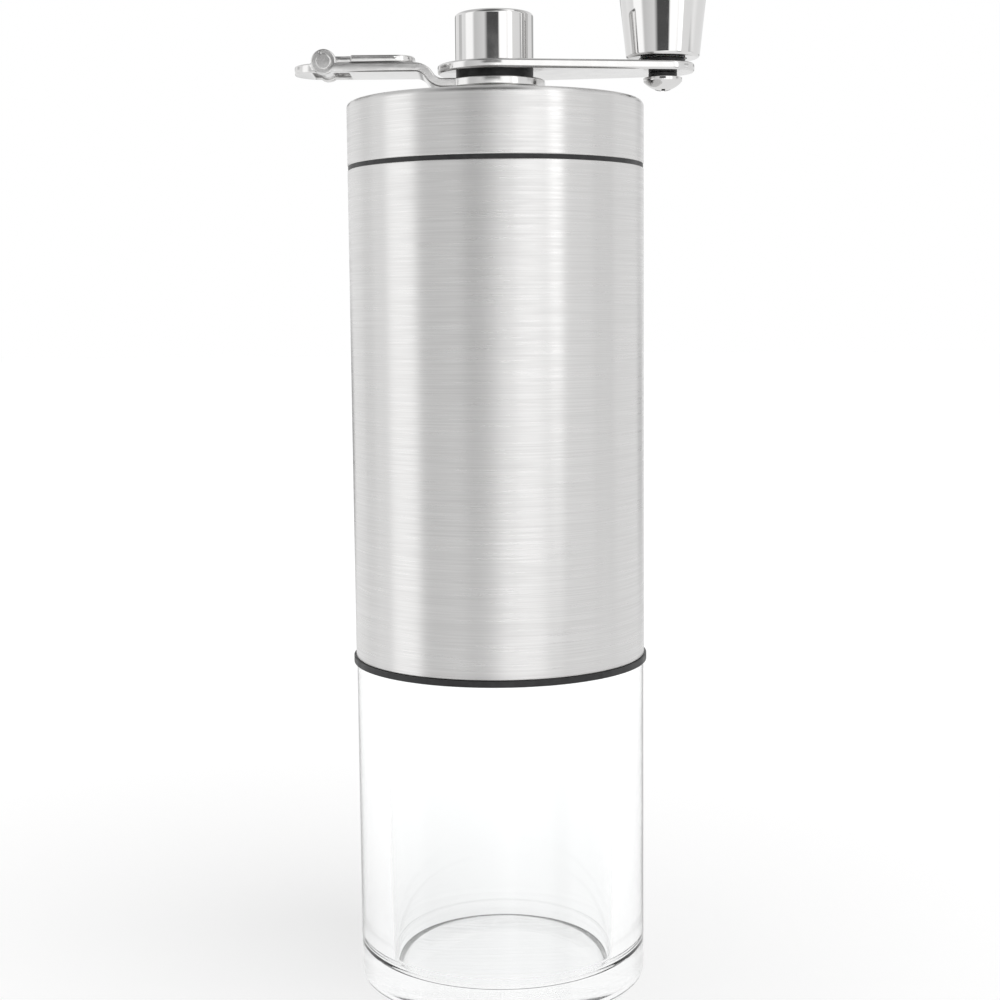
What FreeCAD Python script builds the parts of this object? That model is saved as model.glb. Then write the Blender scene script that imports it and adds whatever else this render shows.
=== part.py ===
import FreeCAD, Part
import math
import os
import re
import Sketcher

# Hand crank coffee grinder, in millimetres. The origin is the centre of the jar's flat foot,
# +Z runs up the grinder's axis and +X points along the crank to the knob.

SIZES = {
    # Clear jar: a thick moulding with a threaded neck. Its bore narrows a little from the mouth down, so that
    # it leaves the mould, and has a low step above the rounded floor.
    "jar_setback": 0.1,
    "jar_height": 57.0,
    "jar_base": 4.6,
    "jar_foot_round": 2.4,
    "jar_draft": 0.8,
    "jar_step_height": 2.3,
    "jar_step_width": 0.5,
    "jar_floor_round": 1.9,
    "neck_wall": 2.1,
    "neck_height": 9.5,
    "neck_round": 0.6,
    # The screw thread that joins the jar to the mill.
    "thread_pitch": 4.0,
    "thread_turns": 1.25,
    "thread_depth": 0.8,
    "thread_root": 1.2,
    "thread_crest": 0.5,
    "thread_start": 2.8,
    "thread_bite": 0.3,
    "thread_gap": 0.35,
    # Black collar in the foot of the steel sleeve, and the seal above the jar's rim.
    "ring_height": 1.0,
    "ring_overhang": 0.4,
    "collar_wall": 0.7,
    "seal_height": 1.6,
    "seal_inset": 0.2,
    "web_height": 2.5,
    "web_width": 2.15,
    # Steel sleeve and the plastic hopper inside it.
    "body_radius": 25.0,
    "sleeve_wall": 0.8,
    "sleeve_height": 82.65,
    "flange_height": 0.7,
    "flange_setback": 0.1,
    "liner_wall": 1.5,
    "hopper_wall": 2.55,
    "bridge_drop": 13.35,
    # Burr carrier with its funnel, the fixed burr and the ring that holds it up.
    "carrier_height": 25.0,
    "lip_height": 1.5,
    "throat_lap": 2.1,
    "funnel_edge": 1.0,
    "carrier_wall": 4.1,
    "burr_height": 15.0,
    "burr_rim": 2.5,
    "burr_taper": 5.0,
    "outer_flute_depth": 0.9,
    "outer_flute_width": 1.1,
    "outer_flutes": 24,
    "retainer_height": 1.6,
    "retainer_lap": 1.6,
    "screw_inset": 1.4,
    "screw_radius": 0.8,
    "screw_length": 6.0,
    "screw_head_radius": 1.3,
    "screw_head_height": 0.8,
    # Two bridges across the hopper, each with a bronze bush for the shaft.
    "bridge_height": 3.0,
    "bridge_rim": 2.3,
    "bridge_arm": 5.0,
    "bridge_hub_wall": 2.3,
    "lower_hub_drop": 2.0,
    "lower_hub_rise": 2.0,
    "upper_hub_drop": 4.0,
    "upper_hub_rise": 4.0,
    "bush_wall": 1.65,
    "bush_flange_width": 1.3,
    "bush_flange_height": 0.7,
    # Drive shaft: threaded foot, two flats for the burr, a clip groove and a hexagon head.
    "shaft_radius": 3.0,
    "shaft_thread_step": 0.1,
    "shaft_tip": 1.0,
    "shaft_flat_depth": 0.6,
    "shaft_flat_length": 22.0,
    "shaft_hex_step": 1.0,
    "shaft_hex_length": 10.5,
    "clip_depth": 0.55,
    "clip_height": 0.8,
    "clip_width": 2.5,
    # Turning burr, its driver, the spring above it and the grind adjuster below it.
    "burr_gap": 0.8,
    "feed_travel": 0.75,
    "burr_overlap_low": 0.6,
    "burr_overlap_high": 1.0,
    "driver_tube_wall": 1.9,
    "inner_flute_low": 1.0,
    "inner_flute_share": 0.45,
    "inner_flute_width": 1.5,
    "inner_flutes": 15,
    "driver_edge": 2.5,
    "driver_height": 2.6,
    "lug_inset": 2.5,
    "lug_pin_radius": 1.0,
    "lug_pin_height": 2.8,
    "spring_clearance": 0.8,
    "spring_wire": 0.7,
    "spring_turns": 3.5,
    "spring_washer_edge": 1.25,
    "spring_washer_height": 0.55,
    "click_plate_height": 0.6,
    "click_plate_setback": 2.0,
    "adjuster_setback": 0.5,
    "adjuster_height": 5.4,
    "adjuster_scallop": 1.6,
    "adjuster_scallop_depth": 0.7,
    "adjuster_scallops": 14,
    # Steel cap over a plastic plug with its seal, and the bush that carries the crank.
    "cap_height": 10.5,
    "cap_top": 0.9,
    "cap_round": 1.0,
    "plug_nose": 3.9,
    "plug_wall": 1.4,
    "plug_roof": 2.4,
    "plug_boss_wall": 2.45,
    "plug_boss_height": 6.9,
    "cap_seal_height": 1.4,
    "cap_seal_depth": 0.6,
    "cap_seal_drop": 1.4,
    "cap_seal_reach": 0.15,
    "hub_bush_wall": 1.95,
    "hub_bush_flange_width": 1.2,
    "hub_bush_flange_height": 0.5,
    # Crank hub: a barrel with a hexagon socket below, a hexagon for the arms and a stud above.
    "hub_wall": 2.0,
    "hub_length": 11.85,
    "hub_flange_width": 3.0,
    "hub_flange_height": 1.1,
    "hub_hex_step": 2.0,
    "hub_stud_step": 2.0,
    "hub_stud_length": 6.8,
    "hub_socket_depth": 11.5,
    "hub_clip_depth": 0.6,
    "hub_clip_height": 0.8,
    "hub_clip_width": 2.7,
    "thrust_height": 0.4,
    "thrust_setback": 0.2,
    # Two flat arms with a black spacer between them, clamped by the polished collar.
    "arm_thickness": 1.5,
    "lower_arm_margin": 0.5,
    "lower_arm_half": 5.3,
    "joggle_start": 8.6,
    "joggle_run": 4.6,
    "spacer_height": 1.1,
    "spacer_setback": 0.1,
    "upper_arm_margin": 1.6,
    "upper_arm_eye": 5.3,
    "crank_overhang": 3.3,
    "hub_collar_radius": 6.6,
    "hub_collar_height": 8.5,
    "hub_collar_round": 0.7,
    "hub_collar_roof": 1.2,
    # Flip tab lying on the far arm, and its hinge pin between two round lugs.
    "tab_thickness": 1.2,
    "tab_length": 15.0,
    "tab_half": 5.0,
    "tab_neck": 4.4,
    "tab_end_round": 3.5,
    "pin_radius": 0.8,
    "pin_rise": 0.2,
    "pin_head_radius": 1.3,
    "pin_head_height": 0.45,
    "hinge_lug_radius": 2.1,
    "hinge_lug_width": 1.4,
    "eye_radius": 1.7,
    "window_back": 2.1,
    "window_front": 3.9,
    # Knob: a hollow polished cone on a nylon sleeve, turning on a screw through the arm.
    "knob_low_radius": 6.15,
    "knob_high_radius": 9.6,
    "knob_cone_height": 31.2,
    "knob_shoulder_height": 3.6,
    "knob_shoulder_radius": 4.6,
    "knob_mouth_wall": 0.7,
    "knob_edge": 0.4,
    "knob_sleeve_wall": 2.25,
    "knob_sleeve_length": 23.2,
    "knob_room_radius": 6.0,
    "knob_cap_radius": 7.4,
    "knob_cap_depth": 5.0,
    "knob_cap_crown": 2.6,
    "knob_washer_radius": 3.75,
    "knob_washer_height": 0.75,
    "handle_screw_radius": 1.7,
    "handle_head_radius": 3.25,
    "handle_head_height": 2.2,
    "handle_head_crown": 1.6,
    "screw_washer_radius": 2.4,
    "screw_washer_height": 0.8,
    "knob_nut_width": 5.5,
    "knob_nut_height": 2.6,
    # Clearances: a seated fit, a running fit, an end float and a lift-off fit.
    "seat_gap": 0.05,
    "running_gap": 0.05,
    "float_gap": 0.1,
    "lift_gap": 0.25,
}

doc = FreeCAD.newDocument("hand_coffee_grinder")
sheet = doc.addObject("Spreadsheet::Sheet", "Sizes")
for row, (word, value) in enumerate(SIZES.items(), start=1):
    sheet.set(f"A{row}", word)
    sheet.set(f"B{row}", str(value))
    sheet.setAlias(f"B{row}", word)
doc.recompute()

pieces = []


def formula(text):
    """The sheet expression for a text that names sizes."""

    def cell(word):
        name = word.group(0)
        return f"Sizes.{name}" if name in SIZES else name

    return re.sub(r"[a-z][a-z_]*", cell, text)


def measure(text):
    """The present value of a text that names sizes."""
    return float(sheet.evalExpression(formula(text)))


def level(*terms):
    """A height or radius that is the sum of the terms."""
    return "(" + " + ".join(terms) + ")"


def less(whole, *parts):
    """What is left of a height or radius once the parts are taken away."""
    return "(" + " - ".join([whole, *parts]) + ")"


def new_body(label, along="0", up="0"):
    """An empty body for one sub-part, placed along X and up Z."""
    body = doc.addObject("PartDesign::Body", label)
    body.Label = label
    body.AllowCompound = True
    body.setExpression("Placement.Base.x", formula(along))
    body.setExpression("Placement.Base.z", formula(up))
    pieces.append(body)
    return body


def origin_part(body, role):
    return [item for item in body.Origin.OriginFeatures if item.Role == role][0]


def sketch_on(body, role, lift="0"):
    """A sketch on one of the body's origin planes, lifted along the plane's normal."""
    sketch = body.newObject("Sketcher::SketchObject", body.Label + "_sketch")
    sketch.AttachmentSupport = [(origin_part(body, role), "")]
    sketch.MapMode = "FlatFace"
    sketch.setExpression("AttachmentOffset.Base.z", formula(lift))
    return sketch


def pin_down(sketch, geometry, position, across, up):
    """Ties one sketch point to the sizes that place it."""
    for axis, kind, text in ((-2, "DistanceX", across), (-1, "DistanceY", up)):
        if text == "0":
            sketch.addConstraint(Sketcher.Constraint("PointOnObject", geometry, position, axis))
            continue
        tie = Sketcher.Constraint(kind, -1, 1, geometry, position, measure(text))
        sketch.setExpression(f"Constraints[{sketch.addConstraint(tie)}]", formula(text))


def arc_between(start, end, radius, turn):
    """The short arc from start to end; turn is 1 for anticlockwise and -1 for clockwise."""
    chord = end - start
    to_left = FreeCAD.Vector(-chord.y, chord.x, 0).normalize()
    rise = math.sqrt(max(radius**2 - (chord.Length / 2) ** 2, 0))
    centre = (start + end) / 2 + to_left * rise * turn
    first, last = (start, end) if turn > 0 else (end, start)
    angles = [math.atan2(point.y - centre.y, point.x - centre.x) for point in (first, last)]
    return Part.ArcOfCircle(Part.Circle(centre, FreeCAD.Vector(0, 0, 1), radius), *angles)


def outline(sketch, points):
    """Adds a closed loop of (across, up) points; (across, up, radius, turn) arrives by an arc."""
    base = sketch.GeometryCount
    places = [FreeCAD.Vector(measure(p[0]), measure(p[1]), 0) for p in points]
    ends = []
    for i, point in enumerate(points):
        if len(point) == 2:
            sketch.addGeometry(Part.LineSegment(places[i - 1], places[i]), False)
            ends.append((1, 2))
            continue
        arc = arc_between(places[i - 1], places[i], measure(point[2]), point[3])
        sketch.addGeometry(arc, False)
        ends.append((1, 2) if point[3] > 0 else (2, 1))
    for i, point in enumerate(points):
        after = (i + 1) % len(points)
        corner = Sketcher.Constraint("Coincident", base + i, ends[i][1], base + after, ends[after][0])
        sketch.addConstraint(corner)
        pin_down(sketch, base + i, ends[i][1], point[0], point[1])
        if len(point) == 4:
            tie = Sketcher.Constraint("Radius", base + i, measure(point[2]))
            sketch.setExpression(f"Constraints[{sketch.addConstraint(tie)}]", formula(point[2]))
    return sketch


def circle(sketch, radius, across="0", up="0"):
    """Adds a circle to a sketch."""
    index = sketch.GeometryCount
    centre = FreeCAD.Vector(measure(across), measure(up), 0)
    sketch.addGeometry(Part.Circle(centre, FreeCAD.Vector(0, 0, 1), measure(radius)), False)
    pin_down(sketch, index, 3, across, up)
    tie = Sketcher.Constraint("Radius", index, measure(radius))
    sketch.setExpression(f"Constraints[{sketch.addConstraint(tie)}]", formula(radius))
    return sketch


def rectangle(left, low, right, high):
    return [(left, low), (right, low), (right, high), (left, high)]


def hexagon(width):
    """A hexagon with two corners on the sketch's horizontal axis."""
    corner = f"({width} / sqrt(3))"
    half_corner = f"({width} / sqrt(12))"
    half_width = f"({width} / 2)"
    return [
        (corner, "0"),
        (half_corner, half_width),
        (f"-{half_corner}", half_width),
        (f"-{corner}", "0"),
        (f"-{half_corner}", f"-{half_width}"),
        (half_corner, f"-{half_width}"),
    ]


def double_flat(radius, flat):
    """A round bar's section with a flat on each side."""
    reach = f"sqrt({radius} * {radius} - {flat} * {flat})"
    return [
        (flat, reach),
        (f"-{flat}", reach, radius, 1),
        (f"-{flat}", f"-{reach}"),
        (flat, f"-{reach}", radius, 1),
    ]


def extrude(body, sketch, length, kind="Pad", both_ways=False, turned_round=False):
    """Pads or pockets a sketch, and checks that the solid grew or shrank."""
    before = body.Shape.Volume if body.Tip else 0.0
    feature = body.newObject(f"PartDesign::{kind}", f"{body.Label}_{kind.lower()}")
    feature.Profile = sketch
    feature.setExpression("Length", formula(length))
    feature.SideType = "Symmetric" if both_ways else "One side"
    feature.Reversed = turned_round
    doc.recompute()
    change = body.Shape.Volume - before
    if (change > 0) != (kind == "Pad") or abs(change) < 1e-6:
        raise RuntimeError(f"{feature.Label} changed the volume by {change}")
    return feature


def pad(body, sketch, length, **options):
    return extrude(body, sketch, length, "Pad", **options)


def pocket(body, sketch, length, **options):
    return extrude(body, sketch, length, "Pocket", **options)


def round_about(body, features, count):
    """Repeats features evenly about the body's Z axis."""
    pattern = body.newObject("PartDesign::PolarPattern", body.Label + "_ring")
    pattern.Originals = features
    pattern.Axis = (origin_part(body, "Z_Axis"), [""])
    pattern.Angle = 360
    pattern.setExpression("Occurrences", formula(count))
    body.Tip = pattern
    doc.recompute()
    return pattern


def revolve(body, points):
    """Turns a half section (radius, height) about the body's Z axis."""
    sketch = outline(sketch_on(body, "XZ_Plane"), points)
    feature = body.newObject("PartDesign::Revolution", body.Label + "_turning")
    feature.Profile = sketch
    feature.ReferenceAxis = (sketch, ["V_Axis"])
    feature.Angle = 360
    doc.recompute()
    return feature


def turned(label, points, along="0", up="0"):
    """A sub-part that is one turning."""
    body = new_body(label, along, up)
    revolve(body, points)
    return body


def washer(label, bore, radius, low, high, along="0"):
    return turned(label, rectangle(bore, low, radius, high), along)


def thread(body, points):
    """A rib wound up the body's axis from its section."""
    sketch = outline(sketch_on(body, "XZ_Plane"), points)
    rib = body.newObject("PartDesign::AdditiveHelix", body.Label + "_rib")
    rib.Profile = sketch
    rib.ReferenceAxis = (sketch, ["V_Axis"])
    rib.Mode = "pitch-turns-angle"
    rib.setExpression("Pitch", formula("thread_pitch"))
    rib.setExpression("Turns", formula("thread_turns"))
    doc.recompute()


# Heights up the axis, each standing on the one below it.
rim = level("jar_height", "neck_height")
web_low = level(rim, "seal_height")
deck = level(web_low, "web_height")
ring_top = level("jar_height", "ring_height")
sleeve_top = level(ring_top, "sleeve_height")
lid_seat = level(sleeve_top, "flange_height")
lid_top = level(lid_seat, "cap_height")
burr_top = level(deck, "burr_height")
carrier_top = level(deck, "carrier_height")
liner_step = level(carrier_top, "bridge_height")
bridge_seat = less(lid_seat, "bridge_drop")
lower_bush_low = less(carrier_top, "lower_hub_drop", "bush_flange_height")
upper_bush_top = level(bridge_seat, "bridge_height", "upper_hub_rise", "bush_flange_height")
inner_low = less(deck, "burr_overlap_low")
inner_high = level(burr_top, "burr_overlap_high")
driver_low = less(inner_low, "driver_height")
click_low = less(driver_low, "click_plate_height")
adjuster_high = less(click_low, "float_gap")
adjuster_low = less(adjuster_high, "adjuster_height")
bush_face = level(lid_top, "hub_bush_flange_height")
thrust_low = level(bush_face, "float_gap")
hub_flange_low = level(thrust_low, "thrust_height")
lower_arm_low = level(hub_flange_low, "hub_flange_height")
lower_arm_high = level(lower_arm_low, "arm_thickness")
upper_arm_low = level(lower_arm_high, "spacer_height")
upper_arm_high = level(upper_arm_low, "arm_thickness")

# Radii, from the sleeve inwards and from the shaft outwards, so that pieces that fit keep together.
sleeve_bore = less("body_radius", "sleeve_wall")
inner_fit = less(sleeve_bore, "seat_gap")
collar_bore = less(inner_fit, "collar_wall")
web_bore = less(collar_bore, "web_width")
liner_bore = less(inner_fit, "liner_wall")
hopper_bore = less(inner_fit, "hopper_wall")
frame_radius = less(liner_bore, "seat_gap")
jar_radius = less("body_radius", "jar_setback")
neck_radius = less(collar_bore, "thread_gap", "thread_depth")
neck_bore = less(neck_radius, "neck_wall")
burr_radius = less(frame_radius, "carrier_wall")
burr_mouth_low = less(burr_radius, "burr_rim")
burr_mouth_high = less(burr_mouth_low, "burr_taper")
screw_circle = less(web_bore, "screw_inset")
bush_bore = level("shaft_radius", "running_gap")
bush_radius = level(bush_bore, "bush_wall")
bush_flange = level(bush_radius, "bush_flange_width")
shaft_flat = less("shaft_radius", "shaft_flat_depth")
shaft_thread = less(shaft_flat, "shaft_thread_step")
shaft_hex = less("2 * shaft_radius", "shaft_hex_step")
driver_tube = level(bush_bore, "driver_tube_wall")
inner_bore = level(driver_tube, "seat_gap")
lug_circle = level(inner_bore, "lug_inset")
driver_radius = level(lug_circle, "driver_edge")
hub_radius = level("shaft_radius", "hub_wall")
hub_flange = level(hub_radius, "hub_flange_width")
hub_hex = less(f"2 * {hub_radius}", "hub_hex_step")
hub_stud = less(hub_radius, "hub_stud_step")
lower_arm_hub = level(hub_flange, "lower_arm_margin")
upper_arm_hub = level(hub_flange, "upper_arm_margin")
crank_radius = level("body_radius", "crank_overhang")


# Jar, seal and collar

jar_bore = less(neck_bore, "jar_draft")
floor_bore = less(jar_bore, "jar_step_width")
step_top = level("jar_base", "jar_step_height")
jar = new_body("jar")
revolve(
    jar,
    [
        ("0", "0"),
        (less(jar_radius, "jar_foot_round"), "0"),
        (jar_radius, "jar_foot_round", "jar_foot_round", 1),
        (jar_radius, "jar_height"),
        (neck_radius, "jar_height"),
        (neck_radius, less(rim, "neck_round")),
        (less(neck_radius, "neck_round"), rim, "neck_round", 1),
        (level(neck_bore, "neck_round"), rim),
        (neck_bore, less(rim, "neck_round"), "neck_round", 1),
        (jar_bore, step_top),
        (floor_bore, step_top),
        (floor_bore, level("jar_base", "jar_floor_round")),
        (less(floor_bore, "jar_floor_round"), "jar_base", "jar_floor_round", -1),
        ("0", "jar_base"),
    ],
)


def rib_section(foot, crest, low):
    """A blunt wedge from foot to crest, its root starting at the height low."""
    slope = "((thread_root - thread_crest) / 2)"
    return [
        (foot, low),
        (crest, level(low, slope)),
        (crest, level(low, slope, "thread_crest")),
        (foot, level(low, "thread_root")),
    ]


jar_rib_low = level("jar_height", "thread_start")
jar_rib_foot = less(neck_radius, "thread_bite")
thread(jar, rib_section(jar_rib_foot, level(neck_radius, "thread_depth"), jar_rib_low))

washer("jar_seal", level(neck_bore, "seal_inset"), less(collar_bore, "seal_inset"), rim, web_low)

jar_collar = new_body("jar_collar")
ring_radius = level("body_radius", "ring_overhang")
revolve(
    jar_collar,
    [
        (collar_bore, "jar_height"),
        (ring_radius, "jar_height"),
        (ring_radius, ring_top),
        (inner_fit, ring_top),
        (inner_fit, deck),
        (web_bore, deck),
        (web_bore, web_low),
        (collar_bore, web_low),
    ],
)
collar_rib_low = less(jar_rib_low, "thread_pitch / 2")
collar_rib_foot = level(collar_bore, "thread_bite")
thread(jar_collar, rib_section(collar_rib_foot, less(collar_bore, "thread_depth"), collar_rib_low))


# Sleeve and hopper

washer("body_sleeve", sleeve_bore, "body_radius", ring_top, sleeve_top)

flange_radius = less("body_radius", "flange_setback")
turned(
    "hopper_liner",
    [
        (liner_bore, deck),
        (inner_fit, deck),
        (inner_fit, sleeve_top),
        (flange_radius, sleeve_top),
        (flange_radius, lid_seat),
        (liner_bore, lid_seat),
        (liner_bore, bridge_seat),
        (hopper_bore, bridge_seat),
        (hopper_bore, liner_step),
        (liner_bore, liner_step),
    ],
)


# Fixed burr and what holds it

SCREWS = "3"
screw_bore = level("screw_radius", "seat_gap")
burr_carrier = new_body("burr_carrier")
carrier_bore = level(burr_radius, "seat_gap")
throat_radius = less(burr_radius, "throat_lap")
revolve(
    burr_carrier,
    [
        (carrier_bore, deck),
        (frame_radius, deck),
        (frame_radius, carrier_top),
        (less(frame_radius, "funnel_edge"), carrier_top),
        (throat_radius, level(burr_top, "lip_height")),
        (throat_radius, burr_top),
        (carrier_bore, burr_top),
    ],
)
screw_depth = less("screw_length", "retainer_height")
screw_hole = circle(sketch_on(burr_carrier, "XY_Plane", deck), screw_bore, screw_circle)
hole_depth = level(screw_depth, "float_gap")
round_about(burr_carrier, [pocket(burr_carrier, screw_hole, hole_depth, turned_round=True)], SCREWS)

outer_burr = new_body("outer_burr")
revolve(
    outer_burr,
    [
        (burr_mouth_low, deck),
        (burr_radius, deck),
        (burr_radius, burr_top),
        (burr_mouth_high, burr_top),
    ],
)
past_deck = less(deck, "lip_height")
past_burr = level(burr_top, "lip_height")
outer_flute = outline(
    sketch_on(outer_burr, "XZ_Plane"),
    [
        (less(burr_mouth_high, "lip_height"), past_deck),
        (level(burr_mouth_low, "outer_flute_depth"), past_deck),
        (level(burr_mouth_low, "outer_flute_depth"), deck),
        (level(burr_mouth_high, "outer_flute_depth"), burr_top),
        (level(burr_mouth_high, "outer_flute_depth"), past_burr),
        (less(burr_mouth_high, "lip_height"), past_burr),
    ],
)
outer_cut = pocket(outer_burr, outer_flute, "outer_flute_width", both_ways=True)
round_about(outer_burr, [outer_cut], "outer_flutes")

burr_retainer = new_body("burr_retainer")
retainer_low = less(deck, "retainer_height")
retainer_bore = less(burr_radius, "retainer_lap")
revolve(burr_retainer, rectangle(retainer_bore, retainer_low, less(web_bore, "float_gap"), deck))
screw_hole = circle(sketch_on(burr_retainer, "XY_Plane", deck), screw_bore, screw_circle)
round_about(burr_retainer, [pocket(burr_retainer, screw_hole, "retainer_height")], SCREWS)

retainer_screws = new_body("retainer_screws")
shank = circle(sketch_on(retainer_screws, "XY_Plane", retainer_low), "screw_radius", screw_circle)
shank_pad = pad(retainer_screws, shank, "screw_length")
head = circle(sketch_on(retainer_screws, "XY_Plane", retainer_low), "screw_head_radius", screw_circle)
head_pad = pad(retainer_screws, head, "screw_head_height", turned_round=True)
round_about(retainer_screws, [shank_pad, head_pad], SCREWS)


# Bridges and bushes

def bridge(label, low, hub_low, hub_high):
    """A ring with one bar across it and a bored hub in the middle."""
    body = new_body(label)
    hub = circle(sketch_on(body, "XY_Plane", hub_low), level(bush_radius, "bridge_hub_wall"))
    pad(body, hub, less(hub_high, hub_low))
    reach = less(frame_radius, "bridge_rim / 2")
    bar = rectangle("-bridge_arm / 2", f"-{reach}", "bridge_arm / 2", reach)
    pad(body, outline(sketch_on(body, "XY_Plane", low), bar), "bridge_height")
    rim_sketch = circle(sketch_on(body, "XY_Plane", low), frame_radius)
    pad(body, circle(rim_sketch, less(frame_radius, "bridge_rim")), "bridge_height")
    hole = circle(sketch_on(body, "XY_Plane", hub_low), level(bush_radius, "seat_gap"))
    pocket(body, hole, less(hub_high, hub_low), turned_round=True)


lower_hub_low = less(carrier_top, "lower_hub_drop")
lower_hub_high = level(liner_step, "lower_hub_rise")
bridge("lower_bridge", carrier_top, lower_hub_low, lower_hub_high)
turned(
    "lower_bush",
    [
        (bush_bore, lower_bush_low),
        (bush_flange, lower_bush_low),
        (bush_flange, lower_hub_low),
        (bush_radius, lower_hub_low),
        (bush_radius, lower_hub_high),
        (bush_bore, lower_hub_high),
    ],
)

upper_hub_low = less(bridge_seat, "upper_hub_drop")
upper_hub_high = level(bridge_seat, "bridge_height", "upper_hub_rise")
bridge("upper_bridge", bridge_seat, upper_hub_low, upper_hub_high)
turned(
    "upper_bush",
    [
        (bush_bore, upper_hub_low),
        (bush_radius, upper_hub_low),
        (bush_radius, upper_hub_high),
        (bush_flange, upper_hub_high),
        (bush_flange, upper_bush_top),
        (bush_bore, upper_bush_top),
    ],
)


# Drive shaft

clip_low = level(upper_bush_top, "float_gap")
clip_high = level(clip_low, "clip_height")
clip_groove = less("shaft_radius", "clip_depth")
flats_low = level(adjuster_high, "feed_travel", "float_gap")
shaft_low = less(adjuster_low, "feed_travel", "shaft_tip")
hub_low = less(hub_flange_low, "hub_length")
hex_low = less(hub_low, "float_gap")
drive_shaft = new_body("drive_shaft")
revolve(
    drive_shaft,
    [
        ("0", shaft_low),
        (shaft_thread, shaft_low),
        (shaft_thread, flats_low),
        ("shaft_radius", flats_low),
        ("shaft_radius", clip_low),
        (clip_groove, clip_low),
        (clip_groove, clip_high),
        ("shaft_radius", clip_high),
        ("shaft_radius", hex_low),
        ("0", hex_low),
    ],
)
shaft_head = outline(sketch_on(drive_shaft, "XY_Plane", hex_low), hexagon(shaft_hex))
pad(drive_shaft, shaft_head, "shaft_hex_length")
for side in ("", "-"):
    past_shaft = "(shaft_radius + clip_height)"
    edges = rectangle(f"{side}{shaft_flat}", f"-{past_shaft}", f"{side}{past_shaft}", past_shaft)
    flat = outline(sketch_on(drive_shaft, "XY_Plane", flats_low), edges)
    pocket(drive_shaft, flat, "shaft_flat_length", turned_round=True)

washer("shaft_clip", level(clip_groove, "seat_gap"), level(clip_groove, "clip_width"), clip_low, clip_high)

washer_high = less(lower_bush_low, "seat_gap")
washer_low = less(washer_high, "spring_washer_height")
spring_radius = level(bush_bore, "spring_clearance", "spring_wire / 2")
spring_washer_radius = level(spring_radius, "spring_wire / 2", "spring_washer_edge")
washer("spring_washer", bush_bore, spring_washer_radius, washer_low, washer_high)


# Turning burr

outer_slope = "(burr_taper / burr_height)"
inner_low_radius = less(level(burr_mouth_low, f"burr_overlap_low * {outer_slope}"), "burr_gap")
inner_high_radius = less(burr_mouth_high, f"burr_overlap_high * {outer_slope}", "burr_gap")
inner_flute_high = f"inner_flute_share * ({inner_high_radius} - {inner_bore})"
inner_burr = new_body("inner_burr")
revolve(
    inner_burr,
    [
        (inner_bore, inner_low),
        (inner_low_radius, inner_low),
        (inner_high_radius, inner_high),
        (inner_bore, inner_high),
    ],
)
inner_flute = outline(
    sketch_on(inner_burr, "XZ_Plane"),
    [
        (less(inner_low_radius, "inner_flute_low"), less(inner_low, "lip_height")),
        (level(inner_low_radius, "lip_height"), less(inner_low, "lip_height")),
        (level(inner_low_radius, "lip_height"), level(inner_high, "lip_height")),
        (less(inner_high_radius, inner_flute_high), level(inner_high, "lip_height")),
        (less(inner_high_radius, inner_flute_high), inner_high),
        (less(inner_low_radius, "inner_flute_low"), inner_low),
    ],
)
inner_cut = pocket(inner_burr, inner_flute, "inner_flute_width", both_ways=True)
round_about(inner_burr, [inner_cut], "inner_flutes")
LUGS = "3"
lug_bore = level("lug_pin_radius", "float_gap")
lug_hole = circle(sketch_on(inner_burr, "XY_Plane", inner_low), lug_bore, lug_circle)
lug_cut = pocket(inner_burr, lug_hole, level("lug_pin_height", "float_gap"), turned_round=True)
round_about(inner_burr, [lug_cut], LUGS)

burr_driver = new_body("burr_driver")
revolve(
    burr_driver,
    [
        ("0", driver_low),
        (driver_radius, driver_low),
        (driver_radius, inner_low),
        (driver_tube, inner_low),
        (driver_tube, inner_high),
        ("0", inner_high),
    ],
)
keyway = double_flat(bush_bore, level(shaft_flat, "running_gap"))
keyed_hole = outline(sketch_on(burr_driver, "XY_Plane", driver_low), keyway)
pocket(burr_driver, keyed_hole, less(inner_high, driver_low), turned_round=True)
lug = circle(sketch_on(burr_driver, "XY_Plane", inner_low), "lug_pin_radius", lug_circle)
round_about(burr_driver, [pad(burr_driver, lug, "lug_pin_height")], LUGS)

click_plate_radius = less(driver_radius, "click_plate_setback")
washer("click_plate", level("shaft_radius", "float_gap"), click_plate_radius, click_low, driver_low)

burr_spring = new_body("burr_spring")
spring_low = level(inner_high, "seat_gap", "spring_wire / 2")
coil = circle(sketch_on(burr_spring, "XZ_Plane"), "spring_wire / 2", spring_radius, spring_low)
winding = burr_spring.newObject("PartDesign::AdditiveHelix", "burr_spring_winding")
winding.Profile = coil
winding.ReferenceAxis = (coil, ["V_Axis"])
winding.Mode = "height-turns-angle"
spring_room = less(washer_low, "seat_gap", inner_high, "seat_gap")
winding.setExpression("Height", formula(less(spring_room, "spring_wire")))
winding.setExpression("Turns", formula("spring_turns"))
doc.recompute()

adjuster_nut = new_body("adjuster_nut")
nut_bore = level(shaft_thread, "running_gap")
adjuster_radius = less(driver_radius, "adjuster_setback")
revolve(adjuster_nut, rectangle(nut_bore, adjuster_low, adjuster_radius, adjuster_high))
scallop_centre = less(level(adjuster_radius, "adjuster_scallop"), "adjuster_scallop_depth")
scallop = circle(sketch_on(adjuster_nut, "XY_Plane", adjuster_low), "adjuster_scallop", scallop_centre)
scallop_cut = pocket(adjuster_nut, scallop, "adjuster_height", turned_round=True)
round_about(adjuster_nut, [scallop_cut], "adjuster_scallops")


# Lid

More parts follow.
